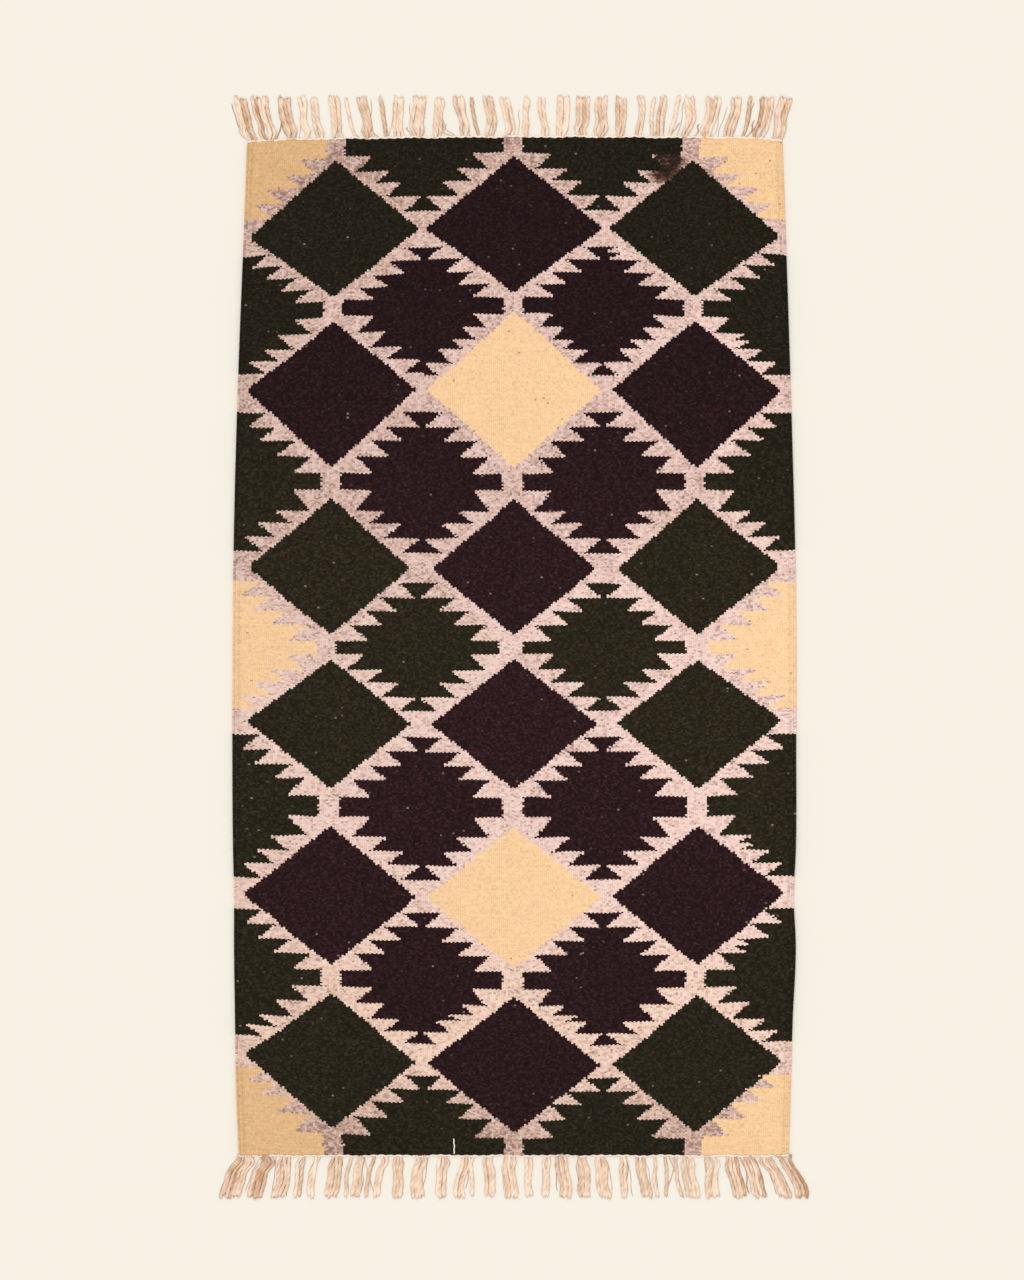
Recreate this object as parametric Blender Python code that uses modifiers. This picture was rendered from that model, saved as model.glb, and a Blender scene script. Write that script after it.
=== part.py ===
"""A flat-woven dhurrie rug: one weft-faced cloth with a knotted warp fringe along each short end.

Metres, +Z up. The rug lies flat on z = 0 with its middle over the origin: X runs across it, and Y
runs along its length, towards the far fringe.
"""
import random
from collections import namedtuple

import bmesh
import bpy

# The cloth
CLOTH_THICK = 0.0050  # the weave, pressed flat on the floor
SELVEDGE_RISE = 0.0006  # the side edges are thicker, where the wefts turn round a bundle of warps
SELVEDGE_WIDE = 0.0045
RIM_ROUND = 0.0016
COLUMNS_ACROSS = 12
ROWS_ALONG = 30

# The far end bows outwards in the middle, and the near end is straight
FAR_MIDDLE = 0.7530
FAR_BOW = 0.0044
FAR_SLANT = 0.0014
NEAR_MIDDLE = -0.7500
END_HALF_WIDTH = 0.3950

# The side edges, worked out at stations along the rug, as distances from its middle line
Station = namedtuple("Station", "along left right")
OUTLINE = (
    Station(-0.750, 0.4070, 0.4060),
    Station(-0.650, 0.4110, 0.4090),
    Station(-0.550, 0.4125, 0.4120),
    Station(-0.440, 0.4140, 0.4165),
    Station(-0.370, 0.4140, 0.4135),
    Station(-0.300, 0.4155, 0.4165),
    Station(-0.150, 0.4165, 0.4170),
    Station(0.000, 0.4160, 0.4170),
    Station(0.150, 0.4145, 0.4155),
    Station(0.300, 0.4110, 0.4115),
    Station(0.450, 0.4060, 0.4070),
    Station(0.600, 0.4000, 0.4020),
    Station(0.750, 0.3945, 0.3965),
)

# The fringe: a twined heading along the cloth's end, and locks of warp yarn knotted at its edge
SEAM_GAP = 0.0003
HEADING_WIDE = 0.0042
HEADING_HIGH = 0.0042
FRINGE_END = 0.8150  # how far from the middle the longest strands reach
TRIM_UNEVEN = 0.0055
TRIM_SEED = 5
ROOT_PITCH = 0.0030  # from strand to strand, where a lock is gathered
TIP_PITCH = 0.0049
ROOT_WIDE = 0.0027
ROOT_HIGH = 0.0028
CROWN = 0.55  # the width of a strand's top, as a share of its foot

# The rings of one strand, each at a share of its length, and how far its lock has spread there
Ring = namedtuple("Ring", "share spread wide high")
STRAND_RINGS = (
    Ring(0.22, 0.62, 0.0036, 0.0028),
    Ring(0.56, 0.80, 0.0040, 0.0026),
    Ring(0.88, 0.96, 0.0042, 0.0023),
    Ring(1.00, 1.00, 0.0032, 0.0016),
)

# The locks from left to right, in millimetres from the middle line at their root and their tip
Lock = namedtuple("Lock", "root tip strands")
FAR_LOCKS = (
    Lock(-386, -406, 4), Lock(-361, -372, 4), Lock(-328, -340, 4), Lock(-306, -315, 2),
    Lock(-286, -296, 2), Lock(-260, -266, 3), Lock(-234, -249, 1), Lock(-214, -223, 3),
    Lock(-189, -197, 1), Lock(-170, -172, 3), Lock(-140, -143, 4), Lock(-114, -110, 3),
    Lock(-71, -80, 3), Lock(-52, -64, 1), Lock(-37, -36, 3), Lock(-9, -11, 3),
    Lock(19, 18, 2), Lock(46, 42, 2), Lock(70, 73, 4), Lock(100, 102, 4),
    Lock(127, 131, 4), Lock(157, 158, 3), Lock(184, 189, 2), Lock(203, 205, 1),
    Lock(215, 219, 2), Lock(229, 244, 1), Lock(253, 262, 3), Lock(285, 294, 4),
    Lock(315, 328, 3), Lock(337, 352, 1), Lock(360, 376, 4), Lock(389, 402, 4),
)
NEAR_LOCKS = (
    Lock(-396, -423.1, 5), Lock(-365, -384, 4), Lock(-337, -347, 4), Lock(-312, -321, 2),
    Lock(-290, -302, 2), Lock(-260, -272, 4), Lock(-240, -251, 1), Lock(-226, -235, 3),
    Lock(-206, -220, 1), Lock(-192, -204, 2), Lock(-171, -174, 3), Lock(-135, -145, 4),
    Lock(-106, -109, 3), Lock(-70, -80, 3), Lock(-58, -64, 1), Lock(-37, -35, 3),
    Lock(-7, -7, 4), Lock(21, 22, 2), Lock(49, 47, 2), Lock(71, 75, 4),
    Lock(99, 106, 4), Lock(126, 135, 4), Lock(160, 163, 2), Lock(186, 195, 3),
    Lock(207, 211, 1), Lock(223, 226, 1), Lock(234, 247, 1), Lock(256, 263, 4),
    Lock(288, 296, 4), Lock(321, 331, 4), Lock(345, 363, 4), Lock(371, 400, 4),
    Lock(397, 425.55, 4),
)
MILLIMETRE = 0.001

COLLECTION = "dhurrie_rug"
Finish = namedtuple("Finish", "name color roughness")
WOOL = Finish("flat_woven_wool", (0.47, 0.30, 0.24, 1.0), 0.92)
COTTON = Finish("cotton_warp_yarn", (0.82, 0.61, 0.42, 1.0), 0.90)


def clear_scene():
    """Takes every object and unused mesh out of the file."""
    for thing in list(bpy.data.objects):
        bpy.data.objects.remove(thing, do_unlink=True)
    for mesh in list(bpy.data.meshes):
        bpy.data.meshes.remove(mesh)


def rug_collection():
    """Makes the collection that holds the rug's pieces."""
    group = bpy.data.collections.new(COLLECTION)
    bpy.context.scene.collection.children.link(group)
    return group


def material_of(finish):
    """Makes a Principled material from a finish."""
    material = bpy.data.materials.new(finish.name)
    material.use_nodes = True
    shader = material.node_tree.nodes["Principled BSDF"]
    shader.inputs["Base Color"].default_value = finish.color
    shader.inputs["Roughness"].default_value = finish.roughness
    shader.inputs["Metallic"].default_value = 0.0
    material.diffuse_color = finish.color
    return material


def finished_piece(name, shape, finish, group):
    """Turns a bmesh into the named object, with its faces pointing outwards."""
    bmesh.ops.recalc_face_normals(shape, faces=shape.faces)
    mesh = bpy.data.meshes.new(name)
    shape.to_mesh(mesh)
    shape.free()
    mesh.materials.append(material_of(finish))
    piece = bpy.data.objects.new(name, mesh)
    group.objects.link(piece)
    return piece


def between(low, high, share):
    """Gives the value at a share of the way from low to high."""
    return low + (high - low) * share


def smooth_through(before, start, end, after, share):
    """Gives the value on a smooth curve through start and end, with a neighbour on either side."""
    bend = 2 * before - 5 * start + 4 * end - after
    twist = 3 * (start - end) + after - before
    return start + 0.5 * share * (end - before + share * (bend + share * twist))


def half_width(along, side):
    """Gives the distance from the middle line to one side edge of the cloth."""
    last = len(OUTLINE) - 1
    for index in range(last):
        here, further = OUTLINE[index], OUTLINE[index + 1]
        if along <= further.along or index == last - 1:
            share = (along - here.along) / (further.along - here.along)
            near_by = (OUTLINE[max(index - 1, 0)], here, further, OUTLINE[min(index + 2, last)])
            return smooth_through(*(getattr(place, side) for place in near_by), share)


def far_line(across):
    """Gives the place along Y of the cloth's far end."""
    share = across / END_HALF_WIDTH
    return FAR_MIDDLE - FAR_BOW * share**2 + FAR_SLANT * share


def near_line(across):
    """Gives the place along Y of the cloth's near end."""
    return NEAR_MIDDLE


def place_in_cloth(across_share, along_share):
    """Gives the point of the cloth at shares from -1 to 1 across it and from 0 to 1 along it."""
    side = "left" if across_share < 0 else "right"
    rough_along = between(NEAR_MIDDLE, FAR_MIDDLE, along_share)
    across = across_share * half_width(rough_along, side)
    return across, between(near_line(across), far_line(across), along_share)


def column_shares():
    """Lists where the cloth's columns of faces part, with two narrow ones along each selvedge."""
    narrow = SELVEDGE_WIDE / END_HALF_WIDTH
    middle = 1.0 - 2 * narrow
    shares = [-1.0, -1.0 + narrow]
    shares += [between(-middle, middle, step / COLUMNS_ACROSS) for step in range(COLUMNS_ACROSS + 1)]
    return shares + [1.0 - narrow, 1.0]


def grid_of(columns, rows):
    """Makes a grid of faces and gives it with its corners sorted by column and row."""
    shape = bmesh.new()
    bmesh.ops.create_grid(shape, x_segments=columns, y_segments=rows, size=1.0)
    corners = {}
    for corner in shape.verts:
        column = round((corner.co.x + 1.0) / 2.0 * columns)
        row = round((corner.co.y + 1.0) / 2.0 * rows)
        corners[column, row] = corner
    return shape, corners


def raised(shape, top_of):
    """Closes a flat grid into a solid, with its top at the height that top_of gives."""
    pulled = bmesh.ops.extrude_face_region(shape, geom=shape.faces[:])
    for part in pulled["geom"]:
        if isinstance(part, bmesh.types.BMVert):
            part.co.z = top_of(part.co)


def build_cloth(group):
    """Makes the woven cloth: a flat slab with bowed edges, thicker selvedges and a rounded rim."""
    shares = column_shares()
    shape, corners = grid_of(len(shares) - 1, ROWS_ALONG)
    for (column, row), corner in corners.items():
        corner.co.x, corner.co.y = place_in_cloth(shares[column], row / ROWS_ALONG)

    def top_of(place):
        side = "left" if place.x < 0 else "right"
        inwards = half_width(place.y, side) - abs(place.x)
        is_ridge = 0.5 * SELVEDGE_WIDE < inwards < 1.5 * SELVEDGE_WIDE
        return CLOTH_THICK + (SELVEDGE_RISE if is_ridge else 0.0)

    raised(shape, top_of)
    cloth = finished_piece("woven_cloth", shape, WOOL, group)
    rim = cloth.modifiers.new("rim", "BEVEL")
    rim.width = RIM_ROUND
    rim.segments = 2
    rim.limit_method = "ANGLE"
    rim.angle_limit = 1.0
    return cloth


def strands_of(locks):
    """Lists every lock's strands from left to right, as the lock and the place in it."""
    return [
        (lock, number - (lock.strands - 1) / 2) for lock in locks for number in range(lock.strands)
    ]


def strand_place(strand, share, spread):
    """Gives a strand's distance from the middle line at a share of its length."""
    lock, place_in_lock = strand
    middle = between(lock.root, lock.tip, share) * MILLIMETRE
    return middle + place_in_lock * between(ROOT_PITCH, TIP_PITCH, spread)


def build_fringe(name, locks, end_line, outwards, group):
    """Makes one fringe: the heading strip along the cloth's end, and every strand pulled from it."""
    strands = strands_of(locks)
    places = [strand_place(strand, 0.0, 0.0) for strand in strands]
    parting = [-half_width(end_line(-END_HALF_WIDTH), "left")]
    for place in places:
        parting += [place - ROOT_WIDE / 2, place + ROOT_WIDE / 2]
    parting.append(half_width(end_line(END_HALF_WIDTH), "right"))

    def heading_line(across, row):
        return end_line(across) + outwards * (SEAM_GAP + row * HEADING_WIDE)

    def top_of(place):
        at_cloth = abs(place.y - heading_line(place.x, 0)) < HEADING_WIDE / 2
        return HEADING_HIGH if at_cloth else ROOT_HIGH

    shape, corners = grid_of(len(parting) - 1, 1)
    for (column, row), corner in corners.items():
        corner.co.x = parting[column]
        corner.co.y = heading_line(parting[column], row)
    raised(shape, top_of)

    trim = random.Random(TRIM_SEED)
    roots = root_faces(shape, places, heading_line)
    for strand, place, root in zip(strands, places, roots):
        start = heading_line(place, 1)
        end = outwards * FRINGE_END
        cut_off = max(0.0, trim.uniform(-TRIM_UNEVEN / 2, TRIM_UNEVEN)) / abs(end - start)
        pull_strand(shape, root, strand, start, end, cut_off)
    return finished_piece(name, shape, COTTON, group)


def root_faces(shape, places, heading_line):
    """Finds the face of the heading's outer side that each strand is pulled from."""
    outer = {}
    for face in shape.faces:
        middle = face.calc_center_median()
        if all(abs(corner.co.y - heading_line(corner.co.x, 1)) < SEAM_GAP for corner in face.verts):
            outer[middle.x] = face
    return [min(outer.items(), key=lambda entry: abs(entry[0] - place))[1] for place in places]


def pull_strand(shape, face, strand, start, end, cut_off):
    """Pulls a face out into a strand that lies on the floor, ring by ring.

    Every strand keeps its rings at the same places along the rug, so that neighbours stay apart,
    and only the last ring is drawn back by the share that is cut off.
    """
    for ring in STRAND_RINGS:
        pulled = bmesh.ops.extrude_discrete_faces(shape, faces=[face])
        face = pulled["faces"][0]
        share = min(ring.share, 1.0 - cut_off)
        across = strand_place(strand, share, ring.spread)
        along = between(start, end, share)
        middle = face.calc_center_median()
        for corner in face.verts:
            is_foot = corner.co.z < middle.z
            side = 1.0 if corner.co.x > middle.x else -1.0
            width = ring.wide if is_foot else ring.wide * CROWN
            corner.co = (across + side * width / 2, along, 0.0 if is_foot else ring.high)


def main():
    clear_scene()
    group = rug_collection()
    build_cloth(group)
    build_fringe("fringe_far", FAR_LOCKS, far_line, 1, group)
    build_fringe("fringe_near", NEAR_LOCKS, near_line, -1, group)


main()
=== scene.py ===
"""The look of a flat-woven dhurrie rug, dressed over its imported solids.

Metres, +Z up. The rug lies flat on z = 0: X runs across it and Y along it, towards the far fringe.
The weaver's chart has its own two numbers. The column u counts pairs of warps from the middle line,
and the row v counts rows of the pattern from the far end.
"""

import math
import random
from collections import namedtuple

import bpy
import numpy as np
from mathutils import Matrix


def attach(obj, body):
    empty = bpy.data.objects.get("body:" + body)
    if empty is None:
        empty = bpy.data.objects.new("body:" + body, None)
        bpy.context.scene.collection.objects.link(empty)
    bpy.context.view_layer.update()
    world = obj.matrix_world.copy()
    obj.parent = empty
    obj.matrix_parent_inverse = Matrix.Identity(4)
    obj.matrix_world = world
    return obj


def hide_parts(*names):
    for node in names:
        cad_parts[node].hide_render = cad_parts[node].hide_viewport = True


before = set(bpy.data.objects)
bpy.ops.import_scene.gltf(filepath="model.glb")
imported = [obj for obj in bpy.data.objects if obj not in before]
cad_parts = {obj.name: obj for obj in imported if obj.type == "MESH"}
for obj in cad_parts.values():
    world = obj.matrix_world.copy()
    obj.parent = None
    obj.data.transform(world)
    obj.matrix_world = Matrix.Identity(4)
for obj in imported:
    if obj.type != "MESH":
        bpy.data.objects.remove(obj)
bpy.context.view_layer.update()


def table(name, columns, *rows):
    """Makes a short table of rows with named columns."""
    row_kind = namedtuple(name, columns)
    return [row_kind(*row) for row in rows]


# The cloth
CLOTH_THICK = 0.0050
FAR_MIDDLE = 0.7530
FAR_BOW = 0.0044
FAR_SLANT = 0.0014
NEAR_LINE = -0.7500
CORNER_DROP = 0.0022
PULL = 0.0005  # how far the locks of the fringe pull the ends in and out of line
END_HALF_WIDTH = 0.3950
SELVEDGE_WIDE = 0.0046
SELVEDGE_HIGH = 0.0050
WAVE = 0.00022  # how far the laid cloth lifts off the floor in places

# The side edges at stations along the rug, as distances from its middle line
OUTLINE = table(
    "Station", "along left right",
    (-0.750, 0.4070, 0.4060),
    (-0.650, 0.4110, 0.4090),
    (-0.550, 0.4125, 0.4120),
    (-0.440, 0.4140, 0.4165),
    (-0.370, 0.4140, 0.4135),
    (-0.300, 0.4155, 0.4165),
    (-0.150, 0.4165, 0.4170),
    (0.000, 0.4160, 0.4170),
    (0.150, 0.4145, 0.4155),
    (0.300, 0.4110, 0.4115),
    (0.450, 0.4060, 0.4070),
    (0.600, 0.4000, 0.4020),
    (0.750, 0.3945, 0.3965),
)

# The weaver's chart
EDGE_COLUMN = 66  # the chart's columns run from minus this to this
CLOTH_COLUMN = 65.5  # where the cloth's own surface ends, inside its selvedge
SELVEDGE_COLUMN = 65.6
EDGE_VALLEY = 64.6  # a band of painted shade runs along the selvedges at this column, as a valley would cast
# How wide that band of painted shade is, and how dark
EDGE_VALLEY_WIDE = 0.4
EDGE_VALLEY_SHADE = 0.4
ROW_HIGH = 0.00493
MOTIF = 44.0  # columns from one diamond's middle to the next
HALF_MOTIF = 22.0  # and to the next lozenge's
REPEAT = 50.0  # rows from one band's middle to the next
HALF_REPEAT = 25.0
WARP_WIDTH = 0.3952  # half the cloth's width where the warps stand at their true spacing
MIDDLE_GIVE = 0.22  # how much of the side edge's bow the middle warps take up

# The rows where motifs have their middle, with their place along the rug. The weft lines there bow
# towards the far end in the middle of the cloth, and slant towards it on the right
CHART_LINES = table(
    "Line", "row along bow slant",
    (0, 0.7403, 0.0130, 0.0011),
    (25, 0.6207, 0.0150, 0.0014),
    (50, 0.5056, 0.0115, 0.0012),
    (75, 0.3801, 0.0014, 0.0000),
    (100, 0.2438, -0.0021, -0.0002),
    (125, 0.1158, -0.0034, -0.0002),
    (150, -0.0003, -0.0001, 0.0002),
    (175, -0.1140, -0.0054, 0.0006),
    (200, -0.2367, -0.0039, -0.0002),
    (225, -0.3700, -0.0064, 0.0005),
    (250, -0.4925, -0.0069, -0.0008),
    (275, -0.6173, -0.0110, -0.0050),
    (300, -0.7381, -0.0063, -0.0036),
)

# The motifs' measures, by band from the far end: diamonds in rows from their middle to either tip
# and in columns to their side, lozenges in rows of half their bar and of the layers of teeth on
# either side of it: the first, the second, and each of the outer two. The edge lozenges are wider
# by some columns than the others, and the left one of the others stands further right
DIAMONDS = table(
    "Diamond", "far half near",
    (21.8, 21.5, 21.1),
    (20.7, 20.8, 21.0),
    (20.1, 19.6, 20.7),
    (20.9, 19.8, 19.8),
    (19.4, 20.9, 20.8),
    (20.3, 20.8, 20.5),
)
LOZENGES = table(
    "Lozenge", "bar far_layers near_layers edge left",
    (2.05, (4.40, 4.40, 4.40), (4.80, 3.75, 4.55), 0.0, 0.0),
    (2.55, (4.00, 4.10, 4.10), (4.95, 4.85, 3.85), -0.2, 0.2),
    (2.30, (4.65, 4.10, 3.90), (6.05, 3.60, 4.25), 0.0, 0.0),
    (2.20, (4.85, 4.55, 4.35), (5.20, 4.35, 4.55), -0.9, -1.0),
    (2.95, (5.05, 4.10, 4.40), (5.45, 3.95, 3.85), -0.5, 0.0),
    (2.75, (4.90, 4.20, 4.30), (4.60, 4.80, 3.50), -0.1, 0.0),
    (3.00, (5.40, 4.65, 4.10), (4.40, 4.40, 4.40), 0.1, 0.4),
)
# Where a layer of teeth more is fitted in, on the near half of two of the rows of lozenges and only
# beside the middle diamonds, or the middle and right one: rows of the first three layers. The
# teeth there are closer and shorter
NOT_CROWDED = (0.0, 0.0, 0.0)
CROWDED = table(
    "Crowded", "first second third",
    NOT_CROWDED,
    (4.05, 3.70, 2.85),
    NOT_CROWDED,
    NOT_CROWDED,
    NOT_CROWDED,
    (4.60, 2.90, 1.80),
    NOT_CROWDED,
)
WIDE_CROWD_ROW = 75.0  # down to this row, the crowding reaches the right lozenge
THIN_LAYER = 1.0  # the easing between two bands leaves crowded layers thinner than this: not woven
# Layers of teeth woven as two layers of small ones: the row of their lozenge's middle, whether they
# are on its near half, the columns that they lie between and their number from the bar
SPLIT_TEETH = table(
    "Split", "row near low high layer",
    (50, 0, 22.0, 44.0, 3),
    (50, 1, 44.0, 66.0, 1),
    (200, 1, 44.0, 66.0, 1),
    (250, 0, 44.0, 66.0, 1),
)
SMALL_TOOTH_START = 0.45  # where the outer small tooth starts, as a share of the layer
SMALL_TOOTH_SHORTER = 0.9
SMALL_TOOTH_STEP = 0.9
SMALL_TOOTH_SLOPE = 2.4
TALL_TIP = 2.1  # rows by which the far tip of the first yellow diamond is taller than its band's
TALL_TIP_ROWS = (50.0, 75.0)
FREE_ROWS = 3.5  # rows either side of a band's border that no motif reaches
TIP_HALF = 0.3
STAIR = 0.75  # rows of one stair of the slanting sides
BLUNT = 0.2  # columns cut off the diamonds' side corners
BLUNT_MIDDLE = 0.5  # and off those of the middle diamonds
BLUNT_OUTER = 0.9  # and off those that face the side edges
MIDDLE_WIDER = 0.6  # the middle diamonds are wider than the table by this, the others narrower
BAR_HALF = 19.6
EDGE_BAR_WIDER = 0.5
EDGE_TEETH_WIDER = 1.0
TOOTH_ROOT = 12.5
TOOTH_STEP = 3.7
TOOTH_LENGTH = 4.2
CROWDED_STEP = 2.9
CROWDED_LENGTH = 3.3
LAST_LAYER_NARROWER = 0.5
EDGE_LAST_WIDER = 1.2
UNEVEN_TEETH = 0.9
TEETH_UNDER_BAR = 0.04
LOZENGE_SHIFT = 0.3  # columns by which the lozenges stand to the left of the diamonds' spaces
RAGGED = 0.7  # how unevenly the bars' ends are joined to the ground, in columns
RAGGED_TEETH = 0.4  # and the teeth's sides, as a share of that
FIRST_ROW = -1.5  # beyond these rows the chart's end bars carry on to the heading
LAST_ROW = 301.5
MIDDLE_ROW = 150.0
DEEP_LOT_ROW = 60.0  # this far from the middle row, the edges' yellow is of a deeper lot
BEADS_PER_ROW = 2
BEAD_DEEP = 0.00045
COTTON_DEEP = 0.00025

# The ends: a twined heading and the locks of warp yarn beyond it
HEADING_WIDE = 0.0038
HEADING_HIGH = 0.0036
CLEAR = 0.0001  # how far the wraps and yarns stand clear of the floor
HEADING_GAP = 0.0014  # from the cloth's end to the heading's middle
HEADING_HALF_WIDTH = 0.3952
FAR_HALF_WIDTH = 0.3955  # the cloth's, at its far end
LOBE_PITCH = 0.0062
FRINGE_END = 0.8150
YARN_WIDE = 0.0061
YARN_FLAT = 0.36  # a laid yarn's height, as a share of its width
ROOT_PITCH = 0.0031
TIP_PITCH = 0.0050

# The locks from left to right, in millimetres from the middle line at their root and their tip
FAR_LOCKS = table(
    "Lock", "root tip strands",
    (-386, -406, 4), (-361, -375, 5), (-328, -340, 4), (-306, -315, 2), (-286, -296, 2),
    (-260, -266, 3), (-234, -249, 1), (-214, -223, 3), (-189, -197, 1), (-170, -172, 3),
    (-140, -143, 4), (-114, -110, 3), (-71, -80, 3), (-52, -64, 1), (-37, -36, 3),
    (-9, -11, 3), (19, 18, 2), (46, 42, 2), (70, 73, 4), (100, 102, 4),
    (127, 131, 4), (157, 158, 3), (184, 189, 2), (203, 205, 1), (215, 219, 2),
    (229, 244, 1), (253, 262, 3), (285, 294, 4), (315, 328, 3), (337, 352, 1),
    (360, 376, 4), (389, 402, 4),
)
NEAR_LOCKS = table(
    "Lock", "root tip strands",
    (-396, -421, 7), (-365, -384, 5), (-337, -347, 4), (-312, -321, 2), (-290, -302, 2),
    (-260, -272, 4), (-240, -251, 1), (-226, -235, 3), (-206, -220, 1), (-192, -204, 2),
    (-171, -174, 3), (-135, -145, 4), (-106, -109, 3), (-70, -80, 3), (-58, -64, 1),
    (-37, -35, 3), (-7, -7, 4), (21, 22, 2), (49, 47, 2), (71, 75, 4),
    (99, 106, 4), (126, 135, 4), (160, 163, 2), (186, 195, 3), (207, 211, 1),
    (223, 226, 1), (234, 247, 1), (256, 263, 4), (288, 296, 4), (321, 331, 4),
    (345, 363, 4), (371, 400, 4), (397, 425.5, 4),
)
MILLIMETRE = 0.001

# Yarns that lie apart from the locks: how far out they reach and how thick they are, as shares of
# the fringe's yarns, and how far they bow sideways, in millimetres
FAR_STRAYS = table(
    "Stray", "root tip reach wide bow",
    (-86, -112, 0.36, 0.60, -7.0), (-84, -117, 0.60, 0.26, -3.0), (-186, -176, 0.95, 0.16, 0.8),
    (-352, -341, 0.80, 0.30, 2.0), (-318, -309, 0.90, 0.14, -1.5), (4, 9, 0.70, 0.14, 1.5),
    (240, 252, 0.90, 0.18, 1.0), (300, 313, 0.75, 0.14, -2.0), (-226, -246, 0.42, 0.40, -2.0),
    (-199, -215, 0.44, 0.36, -2.0), (-150, -157, 0.26, 0.44, 2.0), (204, 220, 0.40, 0.42, -2.0),
    (228, 243, 0.36, 0.34, -1.5), (265, 275, 0.34, 0.36, 2.0), (326, 318, 0.26, 0.42, -2.0),
    (341, 357, 0.42, 0.36, 2.0),
)
NEAR_STRAYS = table(
    "Stray", "root tip reach wide bow",
    (165, 176, 0.97, 0.18, 1.0), (207, 213, 1.00, 0.20, -0.8), (243, 226, 0.98, 0.34, 1.5),
    (228, 250, 1.00, 0.30, -1.0), (-110, -114, 0.80, 0.14, 1.2), (-222, -210, 0.85, 0.16, -1.5),
    (333, 349, 0.90, 0.30, 2.0), (-352, -356, 0.92, 0.16, 1.0),
)
FIELD_THREAD = ((-0.0887, -0.7480), (-0.0893, -0.7256))  # a loose thread that lies on the field
THREAD_WIDE = 0.0019

# Where something dark was spilt on the ground near the far end: places, sizes and strengths
SPILLS = table(
    "Spill", "across along wide long strength",
    (0.2350, 0.7190, 0.0150, 0.0140, 1.50),
    (0.2190, 0.7240, 0.0130, 0.0090, 1.30),
    (0.2270, 0.7105, 0.0260, 0.0210, 1.00),
    (0.2200, 0.6985, 0.0270, 0.0160, 0.88),
    (0.2460, 0.7170, 0.0110, 0.0100, 0.50),
)

# Dyes and finishes, in linear light
GREEN = (0.0154, 0.0120, 0.0054, 1.0)
AUBERGINE = (0.0178, 0.0056, 0.0070, 1.0)
WORN_DARK = (0.0520, 0.0340, 0.0240, 1.0)
YELLOW = (0.868, 0.575, 0.325, 1.0)
DEEP_YELLOW = (0.700, 0.430, 0.215, 1.0)
GROUND = (0.805, 0.572, 0.500, 1.0)
CREAM = (0.820, 0.572, 0.440, 1.0)
MAUVE = (0.402, 0.236, 0.177, 1.0)
DARK_SPECK = (0.200, 0.110, 0.100, 1.0)
PALE_SPECK = (0.930, 0.750, 0.680, 1.0)
STAINED = (0.150, 0.067, 0.050, 1.0)
SPILT = (0.022, 0.012, 0.008, 1.0)
COTTON = (0.935, 0.735, 0.575, 1.0)
PALE_COTTON = (0.92, 0.84, 0.75, 1.0)
COTTON_SHADE = (0.47, 0.255, 0.130, 1.0)
FLOOR = (0.795, 0.750, 0.670, 1.0)
YELLOW_SPECK = (0.60, 0.34, 0.13, 1.0)
YELLOW_KNOT = (0.16, 0.07, 0.02, 1.0)
GREEN_FIBRE = (0.0190, 0.0200, 0.0090, 1.0)
AUBERGINE_FIBRE = (0.0300, 0.0110, 0.0190, 1.0)
DUST = (0.11, 0.09, 0.07, 1.0)
LINT = (0.30, 0.25, 0.22, 1.0)

# How fine the soft random patterns are, from coarse to fine
LOT_SCALE = 4.0  # from one dyed lot to the next
HAND_SCALE = 17.0  # where the weft lines waver
HAND_ROWS = 1.3  # and by how many rows
PATCH_SCALE = 42.0
BLOTCH_SCALE = 90.0
WOOL_FIBRE_SCALE = 1500.0
COTTON_FIBRE_SCALE = 2200.0

# The camera and the lights
IMAGE_HIGH = 1.8926  # metres of floor from the top of the picture to its bottom
CAMERA_PLACE = (-0.0030, 0.0107, 4.5)
SENSOR = 36.0
FLOOR_SIZE = 14.0
WHITE = (1.0, 1.0, 1.0, 1.0)
SKY_STRENGTH = 0.855
LAMP_STRENGTH = 1.093
LAMP_SOFTNESS = math.radians(30.0)
LAMP_COLOR = (1.0, 0.995, 0.98)
LAMP_TILT = (math.radians(-16.0), math.radians(-14.0), 0.0)


# ------------------------------------------------------------------ the chart's places

def between(low, high, share):
    """Gives the value at a share of the way from low to high."""
    return low + (high - low) * share


def smooth_step(start, end, value):
    """Rises smoothly from 0 at start to 1 at end."""
    share = np.clip((value - start) / (end - start), 0.0, 1.0)
    return share * share * (3.0 - 2.0 * share)


def smooth_through(places, values, wanted):
    """Reads a smooth curve that passes through the values at the places, which rise."""
    places = np.asarray(places, float)
    values = np.asarray(values, float)
    slopes = np.gradient(values, places)
    index = np.clip(np.searchsorted(places, wanted) - 1, 0, len(places) - 2)
    step = places[index + 1] - places[index]
    share = (wanted - places[index]) / step
    rise = 3 * share**2 - 2 * share**3
    bend_in = share**3 - 2 * share**2 + share
    bend_out = share**3 - share**2
    return (
        values[index] * (1 - rise)
        + values[index + 1] * rise
        + step * (slopes[index] * bend_in + slopes[index + 1] * bend_out)
    )


def half_width(along, across):
    """Gives the distance from the middle line to the side edge, on the side that across is on."""
    stations, *edges = zip(*OUTLINE)
    left, right = [smooth_through(stations, edge, along) for edge in edges]
    return np.where(across < 0, left, right)


def pulled(across):
    """Gives how far an end stands out of line, where the locks of its fringe pull at it."""
    long_waves = np.sin(76.0 * across + 1.0) + 0.7 * np.sin(134.0 * across + 2.2)
    return PULL * (np.sin(503.0 * across) + long_waves)


def far_line(across):
    """Gives the place along Y of the cloth's far end."""
    share = across / END_HALF_WIDTH
    drop = CORNER_DROP * smooth_step(0.90, 1.02, np.abs(share))
    return FAR_MIDDLE - FAR_BOW * share**2 + FAR_SLANT * share - drop + pulled(across)


def near_line(across):
    """Gives the place along Y of the cloth's near end."""
    return NEAR_LINE + pulled(0.07 - across)


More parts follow.
